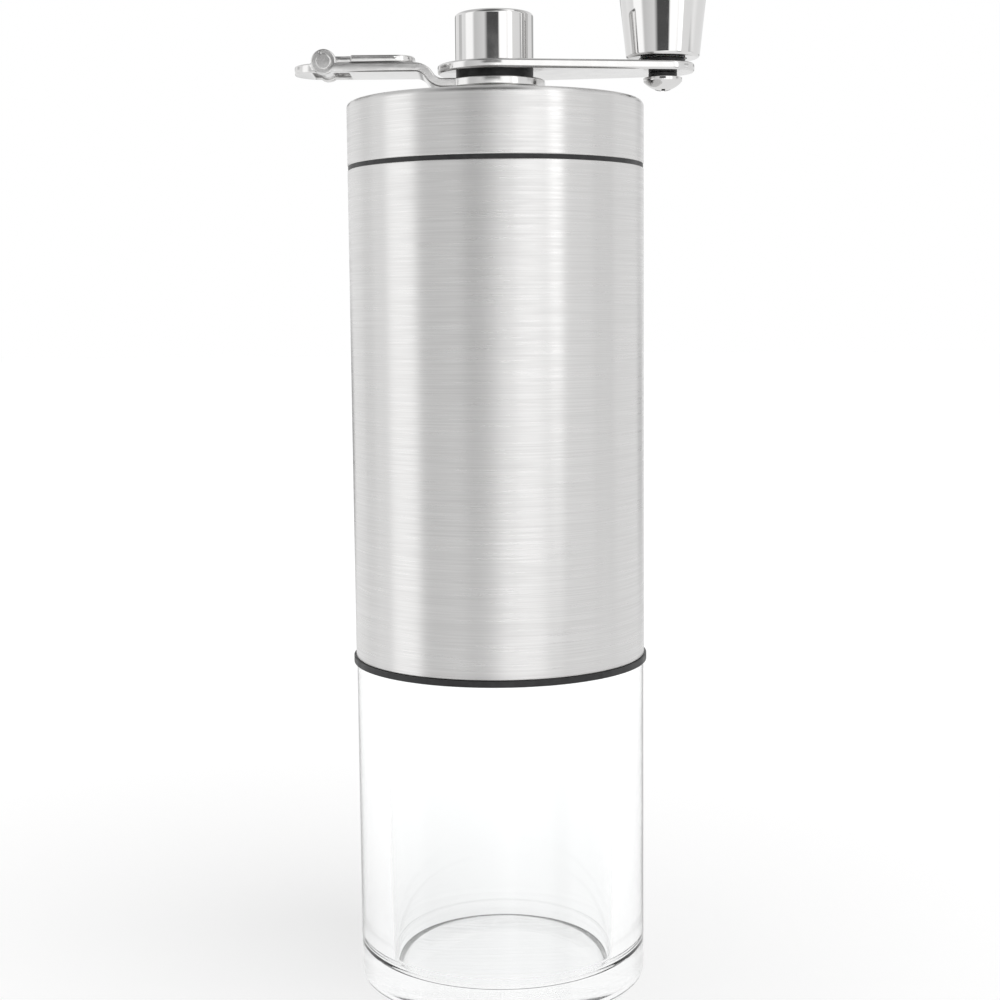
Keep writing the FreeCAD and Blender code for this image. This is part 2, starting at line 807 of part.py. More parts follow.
hub_bore = level(hub_radius, "running_gap")
hub_bush_radius = level(hub_bore, "hub_bush_wall")
boss_bore = level(hub_bush_radius, "seat_gap")
boss_radius = level(boss_bore, "plug_boss_wall")
cap_under = less(lid_top, "cap_top")
turned(
    "cap_shell",
    [
        (sleeve_bore, lid_seat),
        ("body_radius", lid_seat),
        ("body_radius", less(lid_top, "cap_round")),
        (less("body_radius", "cap_round"), lid_top, "cap_round", 1),
        (boss_bore, lid_top),
        (boss_bore, cap_under),
        (sleeve_bore, cap_under),
    ],
)

nose_radius = less(liner_bore, "lift_gap")
nose_bore = less(nose_radius, "plug_wall")
plug_seat = level(lid_seat, "float_gap")
nose_low = less(plug_seat, "plug_nose")
boss_low = less(cap_under, "plug_boss_height")
seal_high = less(plug_seat, "cap_seal_drop")
seal_low = less(seal_high, "cap_seal_height")
seal_groove = less(nose_radius, "cap_seal_depth")
turned(
    "cap_plug",
    [
        (boss_bore, boss_low),
        (boss_radius, boss_low),
        (boss_radius, less(cap_under, "plug_roof")),
        (nose_bore, less(cap_under, "plug_roof")),
        (nose_bore, nose_low),
        (nose_radius, nose_low),
        (nose_radius, seal_low),
        (seal_groove, seal_low),
        (seal_groove, seal_high),
        (nose_radius, seal_high),
        (nose_radius, plug_seat),
        (inner_fit, plug_seat),
        (inner_fit, cap_under),
        (boss_bore, cap_under),
    ],
)
washer("cap_seal", level(seal_groove, "seat_gap"), level(nose_radius, "cap_seal_reach"), seal_low, seal_high)
hub_bush_flange = level(hub_bush_radius, "hub_bush_flange_width")
turned(
    "hub_bush",
    [
        (hub_bore, boss_low),
        (hub_bush_radius, boss_low),
        (hub_bush_radius, lid_top),
        (hub_bush_flange, lid_top),
        (hub_bush_flange, bush_face),
        (hub_bore, bush_face),
    ],
)


# Crank hub

hub_clip_high = less(boss_low, "float_gap")
hub_clip_low = less(hub_clip_high, "hub_clip_height")
hub_groove = less(hub_radius, "hub_clip_depth")
crank_hub = new_body("crank_hub")
revolve(
    crank_hub,
    [
        ("0", hub_low),
        (hub_radius, hub_low),
        (hub_radius, hub_clip_low),
        (hub_groove, hub_clip_low),
        (hub_groove, hub_clip_high),
        (hub_radius, hub_clip_high),
        (hub_radius, hub_flange_low),
        (hub_flange, hub_flange_low),
        (hub_flange, lower_arm_low),
        (hub_stud, lower_arm_low),
        (hub_stud, level(upper_arm_high, "hub_stud_length")),
        ("0", level(upper_arm_high, "hub_stud_length")),
    ],
)
hub_key = outline(sketch_on(crank_hub, "XY_Plane", lower_arm_low), hexagon(hub_hex))
pad(crank_hub, hub_key, less(upper_arm_high, lower_arm_low))
socket_width = level(shaft_hex, "running_gap", "running_gap")
socket = outline(sketch_on(crank_hub, "XY_Plane", hub_low), hexagon(socket_width))
pocket(crank_hub, socket, "hub_socket_depth", turned_round=True)

hub_clip_radius = level(hub_groove, "hub_clip_width")
washer("hub_clip", level(hub_groove, "seat_gap"), hub_clip_radius, hub_clip_low, hub_clip_high)
thrust_radius = less(hub_flange, "thrust_setback")
washer("thrust_washer", level(hub_radius, "seat_gap"), thrust_radius, thrust_low, hub_flange_low)


# Arms, spacer and collar

key_width = level(hub_hex, "seat_gap", "seat_gap")


def key_hole(body, low, height):
    """The hexagon hole that fits the hub."""
    pocket(body, outline(sketch_on(body, "XY_Plane", low), hexagon(key_width)), height, turned_round=True)


rise = level("arm_thickness", "spacer_height")
steepness = f"({rise} / joggle_run)"
bend_sine = f"(2 * {steepness} / (1 + {steepness} * {steepness}))"
bend_cosine = f"((1 - {steepness} * {steepness}) / (1 + {steepness} * {steepness}))"
bend_radius = f"((joggle_run * joggle_run + {rise} * {rise}) / (4 * {rise}))"
inside_bend = less(bend_radius, "arm_thickness / 2")
outside_bend = level(bend_radius, "arm_thickness / 2")
joggle_end = level("joggle_start", "joggle_run")
middle_across = "(-joggle_start - joggle_run / 2)"
middle_up = level(lower_arm_low, "arm_thickness / 2", f"{rise} / 2")
half_across = f"arm_thickness / 2 * {bend_sine}"
half_up = f"arm_thickness / 2 * {bend_cosine}"
arm_tip = level(crank_radius, "lower_arm_half")
far_eye = f"(-{crank_radius})"

lower_arm = new_body("lower_arm")
side_view = outline(
    sketch_on(lower_arm, "XZ_Plane"),
    [
        (lower_arm_hub, lower_arm_low),
        (lower_arm_hub, lower_arm_high),
        ("-joggle_start", lower_arm_high),
        (level(middle_across, half_across), level(middle_up, half_up), inside_bend, -1),
        (f"-{joggle_end}", upper_arm_high, outside_bend, 1),
        (f"-{arm_tip}", upper_arm_high),
        (f"-{arm_tip}", upper_arm_low),
        (f"-{joggle_end}", upper_arm_low),
        (less(middle_across, half_across), less(middle_up, half_up), inside_bend, -1),
        ("-joggle_start", lower_arm_low, outside_bend, 1),
    ],
)
pad(lower_arm, side_view, f"2 * {lower_arm_hub}", both_ways=True)
waist = f"sqrt({lower_arm_hub} * {lower_arm_hub} - lower_arm_half * lower_arm_half)"
around = level(crank_radius, lower_arm_hub)
plan_view = outline(
    sketch_on(lower_arm, "XY_Plane", less(lower_arm_low, "arm_thickness")),
    rectangle(f"-{around}", f"-{around}", around, around),
)
outline(
    plan_view,
    [
        (lower_arm_hub, "0", lower_arm_hub, 1),
        (f"-{waist}", "lower_arm_half", lower_arm_hub, 1),
        (far_eye, "lower_arm_half"),
        (f"-{arm_tip}", "0", "lower_arm_half", 1),
        (far_eye, "-lower_arm_half", "lower_arm_half", 1),
        (f"-{waist}", "-lower_arm_half"),
    ],
)
pocket(lower_arm, plan_view, level(rise, "4 * arm_thickness"), turned_round=True)
pin_height = level(upper_arm_high, "pin_rise")
lugs = circle(sketch_on(lower_arm, "XZ_Plane"), "hinge_lug_radius", far_eye, pin_height)
pad(lower_arm, lugs, "2 * lower_arm_half", both_ways=True)
lug_inside = less("lower_arm_half", "hinge_lug_width")
window = outline(
    sketch_on(lower_arm, "XY_Plane", less(upper_arm_low, "hinge_lug_radius")),
    rectangle(less(far_eye, "window_back"), f"-{lug_inside}", level(far_eye, "window_front"), lug_inside),
)
pocket(lower_arm, window, "4 * hinge_lug_radius", turned_round=True)
pin_bore = level("pin_radius", "seat_gap")
pin_hole = circle(sketch_on(lower_arm, "XZ_Plane"), pin_bore, far_eye, pin_height)
pocket(lower_arm, pin_hole, "4 * lower_arm_half", both_ways=True)
key_hole(lower_arm, lower_arm_low, "arm_thickness")

arm_spacer = new_body("arm_spacer")
spacer_radius = less("hub_collar_radius", "spacer_setback")
pad(arm_spacer, circle(sketch_on(arm_spacer, "XY_Plane", lower_arm_high), spacer_radius), "spacer_height")
key_hole(arm_spacer, lower_arm_high, "spacer_height")

taper_sine = f"(({upper_arm_hub} - upper_arm_eye) / {crank_radius})"
taper_cosine = f"sqrt(1 - {taper_sine} * {taper_sine})"
hub_touch = (f"{upper_arm_hub} * {taper_sine}", f"({upper_arm_hub} * {taper_cosine})")
eye_touch = (f"({crank_radius} + upper_arm_eye * {taper_sine})", f"(upper_arm_eye * {taper_cosine})")
upper_arm = new_body("upper_arm")
teardrop = outline(
    sketch_on(upper_arm, "XY_Plane", upper_arm_low),
    [
        (f"-{upper_arm_hub}", "0", upper_arm_hub, 1),
        (hub_touch[0], f"-{hub_touch[1]}", upper_arm_hub, 1),
        (eye_touch[0], f"-{eye_touch[1]}"),
        (eye_touch[0], eye_touch[1], "upper_arm_eye", 1),
        hub_touch,
    ],
)
pad(upper_arm, teardrop, "arm_thickness")
key_hole(upper_arm, upper_arm_low, "arm_thickness")
handle_bore = level("handle_screw_radius", "seat_gap")
handle_hole = circle(sketch_on(upper_arm, "XY_Plane", upper_arm_low), handle_bore, crank_radius)
pocket(upper_arm, handle_hole, "arm_thickness", turned_round=True)

collar_high = level(upper_arm_high, "hub_collar_height")
collar_roof = less(collar_high, "hub_collar_roof")
stud_bore = level(hub_stud, "seat_gap")
turned(
    "hub_collar",
    [
        (stud_bore, upper_arm_high),
        ("hub_collar_radius", upper_arm_high),
        ("hub_collar_radius", less(collar_high, "hub_collar_round")),
        (less("hub_collar_radius", "hub_collar_round"), collar_high, "hub_collar_round", 1),
        ("0", collar_high),
        ("0", collar_roof),
        (stud_bore, collar_roof),
    ],
)


# Flip tab and its pin

hinge_pin = new_body("hinge_pin")
pin_shank = circle(sketch_on(hinge_pin, "XZ_Plane"), "pin_radius", far_eye, pin_height)
pad(hinge_pin, pin_shank, "2 * lower_arm_half", both_ways=True)
for side, turned_round in (("", False), ("-", True)):
    pin_head = sketch_on(hinge_pin, "XZ_Plane", f"{side}lower_arm_half")
    circle(pin_head, "pin_head_radius", far_eye, pin_height)
    pad(hinge_pin, pin_head, "pin_head_height", turned_round=turned_round)

folding_tab = new_body("folding_tab")
eye_half = less(lug_inside, "float_gap")
tab_low = level(upper_arm_high, "float_gap")
eye = circle(sketch_on(folding_tab, "XZ_Plane"), "eye_radius", far_eye, pin_height)
pad(folding_tab, eye, f"2 * {eye_half}", both_ways=True)
neck = rectangle(far_eye, f"-{eye_half}", level(far_eye, "tab_neck"), eye_half)
pad(folding_tab, outline(sketch_on(folding_tab, "XY_Plane", tab_low), neck), "tab_thickness")
tab_start = level(far_eye, "tab_neck")
tab_end = level(far_eye, "tab_length")
tab_corner = less("tab_half", "tab_end_round")
blade = [
    (tab_start, "-tab_half"),
    (less(tab_end, "tab_end_round"), "-tab_half"),
    (tab_end, f"-{tab_corner}", "tab_end_round", 1),
    (tab_end, tab_corner),
    (less(tab_end, "tab_end_round"), "tab_half", "tab_end_round", 1),
    (tab_start, "tab_half"),
]
pad(folding_tab, outline(sketch_on(folding_tab, "XY_Plane", tab_low), blade), "tab_thickness")
eye_bore = level("pin_radius", "running_gap")
eye_hole = circle(sketch_on(folding_tab, "XZ_Plane"), eye_bore, far_eye, pin_height)
pocket(folding_tab, eye_hole, "4 * lower_arm_half", both_ways=True)


# Knob and its screw, drawn on their own axis and placed at the end of the arm

screw_seat = less(upper_arm_low, "screw_washer_height")
head_low = less(screw_seat, "handle_head_height")
head_edge = level(head_low, "handle_head_crown")
knob_low = level(upper_arm_high, "knob_washer_height", "float_gap")
knob_high = level(knob_low, "knob_cone_height")
knob_top = level(knob_high, "knob_shoulder_height")
sleeve_end = level(knob_low, "knob_sleeve_length")
nut_low = level(sleeve_end, "float_gap")
nut_high = level(nut_low, "knob_nut_height")
crown_radius = (
    "((handle_head_radius * handle_head_radius + handle_head_crown * handle_head_crown)"
    " / (2 * handle_head_crown))"
)
turned(
    "handle_screw",
    [
        ("0", head_low),
        ("handle_head_radius", head_edge, crown_radius, 1),
        ("handle_head_radius", screw_seat),
        ("handle_screw_radius", screw_seat),
        ("handle_screw_radius", level(nut_high, "float_gap")),
        ("0", level(nut_high, "float_gap")),
    ],
    crank_radius,
)
washer("screw_washer", handle_bore, "screw_washer_radius", screw_seat, upper_arm_low, crank_radius)
knob_washer_high = level(upper_arm_high, "knob_washer_height")
washer("knob_washer", handle_bore, "knob_washer_radius", upper_arm_high, knob_washer_high, crank_radius)

knob_nut = new_body("knob_nut", crank_radius)
pad(knob_nut, outline(sketch_on(knob_nut, "XY_Plane", nut_low), hexagon("knob_nut_width")), "knob_nut_height")
nut_hole = circle(sketch_on(knob_nut, "XY_Plane", nut_low), handle_bore)
pocket(knob_nut, nut_hole, "knob_nut_height", turned_round=True)

turning_bore = level("handle_screw_radius", "running_gap")
knob_sleeve_radius = level(turning_bore, "knob_sleeve_wall")
knob_bore = level(knob_sleeve_radius, "seat_gap")
cap_bore = level("knob_cap_radius", "seat_gap")
cap_seat = less(knob_top, "knob_cap_depth")
turned(
    "knob",
    [
        (knob_bore, knob_low),
        (less("knob_low_radius", "knob_edge"), knob_low),
        ("knob_low_radius", level(knob_low, "knob_edge"), "knob_edge", 1),
        ("knob_high_radius", knob_high),
        (level(cap_bore, "knob_mouth_wall"), knob_top, "knob_shoulder_radius", 1),
        (cap_bore, knob_top),
        (cap_bore, cap_seat),
        ("knob_room_radius", cap_seat),
        ("knob_room_radius", sleeve_end),
        (knob_bore, sleeve_end),
    ],
    crank_radius,
)
washer("knob_sleeve", turning_bore, knob_sleeve_radius, knob_low, sleeve_end, crank_radius)
cap_crown = (
    "((knob_cap_radius * knob_cap_radius + knob_cap_crown * knob_cap_crown) / (2 * knob_cap_crown))"
)
turned(
    "knob_cap",
    [
        ("0", cap_seat),
        ("knob_cap_radius", cap_seat),
        ("knob_cap_radius", knob_top),
        ("0", level(knob_top, "knob_cap_crown"), cap_crown, 1),
    ],
    crank_radius,
)


# Every object has to be sound before anything is written.

doc.recompute()
for item in doc.Objects:
    if "Invalid" in item.State or "Error" in item.State:
        raise RuntimeError(f"{item.Label} failed: {item.State}")
for body in pieces:
    if body.Shape.isNull() or not body.Shape.isValid() or not body.Shape.Solids:
        raise RuntimeError(f"{body.Label} has no sound solid")

os.makedirs("parts", exist_ok=True)
for body in pieces:
    body.Shape.exportStep(f"parts/{body.Label}.step")
spring_pitch = measure(less(spring_room, "spring_wire")) / measure("spring_turns")
spring_gap = spring_pitch - measure("spring_wire")
print(f"{len(pieces)} pieces; least gap between spring turns {spring_gap:.2f} mm")
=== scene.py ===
import math

import bmesh
import bpy
from mathutils import Matrix, Vector


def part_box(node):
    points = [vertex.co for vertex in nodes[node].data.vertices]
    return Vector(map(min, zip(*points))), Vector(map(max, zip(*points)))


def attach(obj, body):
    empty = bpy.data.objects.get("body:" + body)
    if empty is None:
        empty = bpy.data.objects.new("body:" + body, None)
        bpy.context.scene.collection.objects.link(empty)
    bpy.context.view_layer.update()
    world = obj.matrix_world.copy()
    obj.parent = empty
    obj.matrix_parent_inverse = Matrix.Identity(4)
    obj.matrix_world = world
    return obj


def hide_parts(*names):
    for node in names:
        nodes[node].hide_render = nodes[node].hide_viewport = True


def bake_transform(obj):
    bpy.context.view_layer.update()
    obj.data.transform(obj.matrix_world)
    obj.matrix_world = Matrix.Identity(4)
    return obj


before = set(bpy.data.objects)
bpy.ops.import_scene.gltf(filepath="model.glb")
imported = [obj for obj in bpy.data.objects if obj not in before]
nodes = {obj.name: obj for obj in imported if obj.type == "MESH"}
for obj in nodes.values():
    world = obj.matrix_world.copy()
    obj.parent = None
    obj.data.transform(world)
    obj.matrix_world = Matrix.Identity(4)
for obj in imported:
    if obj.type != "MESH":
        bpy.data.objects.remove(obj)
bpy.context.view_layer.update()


# The jar: clear acrylic, moulded with thick walls and a bore that narrows down to a low step above its floor.
# One rib of thread runs 1.25 turns round its neck, and the mill screws on to it.

MM = 0.001
TOUCHING = 1e-6
SIZE_DIGITS = 4
NOISE_LOW = 0.3
NOISE_HIGH = 0.7


def finish(name, **values):
    """A material whose even values sit on the shader's own sockets."""
    material = bpy.data.materials.new(name)
    material.use_nodes = True
    shader = material.node_tree.nodes["Principled BSDF"]
    for socket, value in values.items():
        shader.inputs[socket.replace("_", " ")].default_value = value
    return material


def grain(material, per_metre, detail=3.0, place=None):
    """Noise over a piece, with one count per metre or one for each axis."""
    tree = material.node_tree
    if place is None:
        place = tree.nodes.new("ShaderNodeTexCoord").outputs["Object"]
    stretch = tree.nodes.new("ShaderNodeMapping")
    stretch.inputs["Scale"].default_value = per_metre if isinstance(per_metre, tuple) else (per_metre,) * 3
    noise = tree.nodes.new("ShaderNodeTexNoise")
    noise.inputs["Scale"].default_value = 1.0
    noise.inputs["Detail"].default_value = detail
    tree.links.new(place, stretch.inputs["Vector"])
    tree.links.new(stretch.outputs["Vector"], noise.inputs["Vector"])
    return noise.outputs["Fac"]


def spread(tree, value, start, end, low=0.0, high=1.0):
    """Makes a value that runs from start to end run from low to high."""
    remap = tree.nodes.new("ShaderNodeMapRange")
    for socket, limit in (("From Min", start), ("From Max", end), ("To Min", low), ("To Max", high)):
        remap.inputs[socket].default_value = limit
    tree.links.new(value, remap.inputs["Value"])
    return remap.outputs["Result"]


def tint(material, mask, low, high):
    """Lets the noise move the colour from low to high."""
    tree = material.node_tree
    ramp = tree.nodes.new("ShaderNodeValToRGB")
    first, last = ramp.color_ramp.elements
    first.position = NOISE_LOW
    first.color = (*low, 1.0)
    last.position = NOISE_HIGH
    last.color = (*high, 1.0)
    tree.links.new(mask, ramp.inputs["Fac"])
    tree.links.new(ramp.outputs["Color"], tree.nodes["Principled BSDF"].inputs["Base Color"])


def gloss(material, mask, low, high):
    """Lets the noise move the roughness from low to high."""
    tree = material.node_tree
    roughness = spread(tree, mask, NOISE_LOW, NOISE_HIGH, low, high)
    tree.links.new(roughness, tree.nodes["Principled BSDF"].inputs["Roughness"])


def relief(material, mask, height, strength):
    """Lets the noise raise the surface by up to height mm."""
    tree = material.node_tree
    bump = tree.nodes.new("ShaderNodeBump")
    bump.inputs["Distance"].default_value = height * MM
    bump.inputs["Strength"].default_value = strength
    tree.links.new(mask, bump.inputs["Height"])
    tree.links.new(bump.outputs["Normal"], tree.nodes["Principled BSDF"].inputs["Normal"])


def round_size(node, axis=0.0):
    """The radius, foot and top in mm of a built solid that is round about an upright axis."""
    low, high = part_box(node)
    return [round(size, SIZE_DIGITS) for size in (high.x / MM - axis, low.z / MM, high.z / MM)]


def lathe(section, steps, axis=0.0):
    """Turns a section about an upright axis. A corner is a radius, a height and perhaps a rounding, in mm."""
    bm = bmesh.new()
    points = [bm.verts.new((corner[0] * MM, 0.0, corner[1] * MM)) for corner in section]
    bm.faces.new(points)
    for point, corner in zip(points, section):
        if len(corner) == 3:
            bmesh.ops.bevel(bm, geom=[point], offset=corner[2] * MM, offset_type="OFFSET", segments=8,
                            profile=0.5, affect="VERTICES", material=-1)
    bmesh.ops.delete(bm, geom=bm.faces[:], context="FACES_ONLY")
    axial = [edge for edge in bm.edges if all(point.co.x < TOUCHING for point in edge.verts)]
    bmesh.ops.delete(bm, geom=axial, context="EDGES")
    bmesh.ops.spin(bm, geom=bm.verts[:] + bm.edges[:], cent=(0, 0, 0), axis=(0, 0, 1), angle=math.tau,
                   steps=steps, use_merge=True)
    bmesh.ops.remove_doubles(bm, verts=bm.verts[:], dist=TOUCHING)
    bmesh.ops.translate(bm, verts=bm.verts[:], vec=(axis * MM, 0, 0))
    bmesh.ops.recalc_face_normals(bm, faces=bm.faces[:])
    return bm


def plain_object(name, bm):
    """An object at the origin that holds the mesh of bm."""
    mesh = bpy.data.meshes.new(name)
    bm.to_mesh(mesh)
    bm.free()
    item = bpy.data.objects.new(name, mesh)
    bpy.context.scene.collection.objects.link(item)
    return item


def bake(item):
    """Puts what the modifiers make into the mesh itself."""
    made = bpy.data.meshes.new_from_object(item.evaluated_get(bpy.context.evaluated_depsgraph_get()))
    item.modifiers.clear()
    item.data = made


def combine(item, other, operation):
    """Joins other to item, or cuts it out of item, and takes other away."""
    joint = item.modifiers.new("combine", "BOOLEAN")
    joint.operation = operation
    joint.solver = "EXACT"
    joint.object = other
    bake(item)
    bpy.data.objects.remove(other)


def shade(item, material, sharp=0.7):
    """Smooth faces between sharp edges, the broad faces kept flat, in one material."""
    mesh = item.data
    mesh.materials.clear()
    mesh.materials.append(material)
    mesh.polygons.foreach_set("use_smooth", [True] * len(mesh.polygons))
    mesh.set_sharp_from_angle(angle=sharp)
    even = item.modifiers.new("even", "WEIGHTED_NORMAL")
    even.keep_sharp = True
    even.weight = 100
    bake(item)


def dress(material, *names):
    """Gives a material to solids that stay as they were built."""
    for name in names:
        for slot in nodes[name].material_slots:
            slot.material = material


acrylic = finish("clear_acrylic", Transmission_Weight=1.0, IOR=1.49, Base_Color=(0.955, 0.96, 0.96, 1.0))
gloss(acrylic, grain(acrylic, 40), low=0.0, high=0.012)
relief(acrylic, grain(acrylic, 55, detail=1.0), height=0.04, strength=0.35)

jar_radius, jar_foot, jar_mouth = round_size("jar")
jar_shoulder = 57.0
neck_radius = 22.3
mouth_radius = 20.2
bore_foot_radius = 19.4
step_radius = 18.9
step_height = 6.9
floor_height = 4.6
foot_flat_radius = 22.0
floor_flat_radius = 16.5
foot_rounding = 2.4
floor_rounding = 1.9
lip_rounding = 0.6
root_rounding = 0.3
jar_edge_rounding = 0.2
jar_steps = 192
bm = lathe([
    (0, jar_foot),
    (foot_flat_radius, jar_foot),
    (jar_radius, jar_foot, foot_rounding),
    (jar_radius, jar_shoulder, jar_edge_rounding),
    (neck_radius, jar_shoulder, root_rounding),
    (neck_radius, jar_mouth, lip_rounding),
    (mouth_radius, jar_mouth, lip_rounding),
    (bore_foot_radius, step_height, jar_edge_rounding),
    (step_radius, step_height, jar_edge_rounding),
    (step_radius, floor_height, floor_rounding),
    (floor_flat_radius, floor_height),
    (0, floor_height)], jar_steps)
# One whole face in the middle of the foot and of the floor keeps them clear of streaks.
bmesh.ops.dissolve_verts(bm, verts=[point for point in bm.verts if point.co.xy.length < TOUCHING])
jar = plain_object("clear_jar", bm)

rib_root_radius = 22.0
rib_crest_radius = 23.1
rib_foot = 59.8
rib_root_width = 1.2
rib_crest_width = 0.5
thread_pitch = 4.0
thread_turns = 1.25
rib_steps = 100
rib_flank = (rib_root_width - rib_crest_width) / 2
rib_section = (
    (rib_root_radius, rib_foot),
    (rib_crest_radius, rib_foot + rib_flank),
    (rib_crest_radius, rib_foot + rib_flank + rib_crest_width),
    (rib_root_radius, rib_foot + rib_root_width))
bm = bmesh.new()
rib = bm.faces.new([bm.verts.new((radius * MM, 0, height * MM)) for radius, height in rib_section])
bmesh.ops.spin(bm, geom=[rib], cent=(0, 0, 0), axis=(0, 0, 1), angle=thread_turns * math.tau, steps=rib_steps,
               dvec=(0, 0, thread_pitch * thread_turns / rib_steps * MM))
bmesh.ops.remove_doubles(bm, verts=bm.verts[:], dist=TOUCHING)
bmesh.ops.recalc_face_normals(bm, faces=bm.faces[:])
combine(jar, plain_object("thread_rib", bm), "UNION")
shade(jar, acrylic)
jar.visible_shadow = False
jar.visible_diffuse = False
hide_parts("jar")
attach(jar, "jar")


# The collar and the seal: the collar is moulded in black nylon with the thread for the jar inside.
# Its rim shows as a black ring between the jar and the steel.
# The seal is a flat ring of silicone, pressed in above the jar's mouth, and the lid has one too.

nylon = finish("black_plastic", Specular_IOR_Level=0.4)
tint(nylon, grain(nylon, 900), low=(0.011, 0.011, 0.012), high=(0.024, 0.024, 0.025))
gloss(nylon, grain(nylon, 260), low=0.38, high=0.55)
relief(nylon, grain(nylon, 2600, detail=1.0), height=0.03, strength=0.5)
dress(nylon, "jar_collar")

silicone = finish("black_silicone", Specular_IOR_Level=0.3)
tint(silicone, grain(silicone, 500), low=(0.014, 0.014, 0.015), high=(0.03, 0.03, 0.031))
gloss(silicone, grain(silicone, 300), low=0.6, high=0.8)
relief(silicone, grain(silicone, 4000, detail=1.0), height=0.02, strength=0.4)
dress(silicone, "jar_seal", "cap_seal")


# The sleeve: a thin tube of stainless steel, cut to length and brushed round its outside.
# It is pressed over the collar and the hopper, and its cut edges are broken smooth.

def calculate(tree, operation, first, second):
    """One step of arithmetic on two values, each a number or another step's output."""
    step = tree.nodes.new("ShaderNodeMath")
    step.operation = operation
    for socket, value in zip(step.inputs, (first, second)):
        if isinstance(value, float):
            socket.default_value = value
        else:
            tree.links.new(value, socket)
    return step.outputs["Value"]


def measure(tree, operation, vector, other=(0.0, 0.0, 0.0)):
    """The one number that a step of vector arithmetic gives, such as a length."""
    step = tree.nodes.new("ShaderNodeVectorMath")
    step.operation = operation
    step.inputs[1].default_value = other
    tree.links.new(vector, step.inputs[0])
    return step.outputs["Value"]


def rings(material, per_metre, detail):
    """Noise drawn out into lines that run round the axis, up the sides and in over the flat faces."""
    tree = material.node_tree
    place = tree.nodes.new("ShaderNodeTexCoord").outputs["Object"]
    split = tree.nodes.new("ShaderNodeSeparateXYZ")
    tree.links.new(place, split.inputs["Vector"])
    flat = tree.nodes.new("ShaderNodeCombineXYZ")
    joined = tree.nodes.new("ShaderNodeCombineXYZ")
    for axis in "XY":
        tree.links.new(split.outputs[axis], flat.inputs[axis])
        tree.links.new(split.outputs[axis], joined.inputs[axis])
    radius = measure(tree, "LENGTH", flat.outputs["Vector"])
    tree.links.new(calculate(tree, "SUBTRACT", split.outputs["Z"], radius), joined.inputs["Z"])
    return grain(material, per_metre, detail, joined.outputs["Vector"])


brushed = finish("brushed_steel", Metallic=1.0, Anisotropic=0.85, Anisotropic_Rotation=0.25)
lines = rings(brushed, (60, 60, 7000), detail=4.0)
tint(brushed, lines, low=(0.655, 0.65, 0.645), high=(0.745, 0.74, 0.735))
gloss(brushed, rings(brushed, (110, 110, 2600), detail=2.0), low=0.26, high=0.36)
relief(brushed, lines, height=0.012, strength=0.25)
tree = brushed.node_tree
around = tree.nodes.new("ShaderNodeTangent")
around.direction_type = "RADIAL"
around.axis = "Z"
tree.links.new(around.outputs["Tangent"], tree.nodes["Principled BSDF"].inputs["Tangent"])

steel_wall = 0.8
outer_edge = 0.2
inner_edge = 0.1
steel_steps = 192
sleeve_radius, sleeve_foot, sleeve_top = round_size("body_sleeve")
sleeve_bore = sleeve_radius - steel_wall
sleeve = plain_object("steel_sleeve", lathe([
    (sleeve_bore, sleeve_foot, inner_edge),
    (sleeve_radius, sleeve_foot, outer_edge),
    (sleeve_radius, sleeve_top, outer_edge),
    (sleeve_bore, sleeve_top, inner_edge)], steel_steps))
shade(sleeve, brushed)
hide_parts("body_sleeve")
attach(sleeve, "mill_body")


# The hopper, the burr carrier and the bridges: black nylon mouldings, pushed into the sleeve.
# The bridges hold bushes of sintered bronze, in which the shaft turns.

dress(nylon, "hopper_liner", "burr_carrier", "burr_retainer", "lower_bridge", "upper_bridge")
bronze = finish("bronze", Metallic=1.0)
tint(bronze, grain(bronze, 1500), low=(0.42, 0.25, 0.12), high=(0.62, 0.4, 0.2))
gloss(bronze, grain(bronze, 900), low=0.3, high=0.48)
relief(bronze, grain(bronze, 3000, detail=1.0), height=0.02, strength=0.4)
dress(bronze, "lower_bush", "upper_bush")


# The burrs, the shaft and the grind adjuster: fired ceramic cones, a turned steel shaft and a moulded nut.
# A wound spring stands between the shaft's washer and the turning burr.
# In the mill it gives way as the nut lifts the burr; here it is one fixed copy of the built spring.

def own_copy(node):
    """A copy of a built solid's mesh, with its triangles merged."""
    bm = bmesh.new()
    bm.from_mesh(nodes[node].data)
    bmesh.ops.transform(bm, verts=bm.verts[:], matrix=nodes[node].matrix_world)
    bmesh.ops.remove_doubles(bm, verts=bm.verts[:], dist=2 * TOUCHING)
    return bm


ceramic = finish("white_ceramic", Specular_IOR_Level=0.5)
tint(ceramic, grain(ceramic, 700), low=(0.78, 0.77, 0.73), high=(0.86, 0.85, 0.82))
gloss(ceramic, grain(ceramic, 500), low=0.28, high=0.42)
relief(ceramic, grain(ceramic, 2500, detail=1.0), height=0.02, strength=0.4)
dress(ceramic, "outer_burr", "inner_burr")

turned = finish("machined_steel", Metallic=1.0)
cuts = rings(turned, (150, 150, 5000), detail=3.0)
tint(turned, cuts, low=(0.5, 0.5, 0.5), high=(0.62, 0.62, 0.61))
gloss(turned, grain(turned, (400, 400, 1500)), low=0.2, high=0.34)
relief(turned, cuts, height=0.01, strength=0.3)
dress(turned, "drive_shaft", "shaft_clip", "spring_washer", "click_plate", "retainer_screws")
dress(nylon, "burr_driver", "adjuster_nut")

spring = plain_object("wound_spring", own_copy("burr_spring"))
shade(spring, turned)
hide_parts("burr_spring")
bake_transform(spring)


# The lid: a shallow cup of brushed steel, drawn from sheet, over a moulded plug with a silicone ring.
# A nylon bush in its middle carries the hub of the crank.

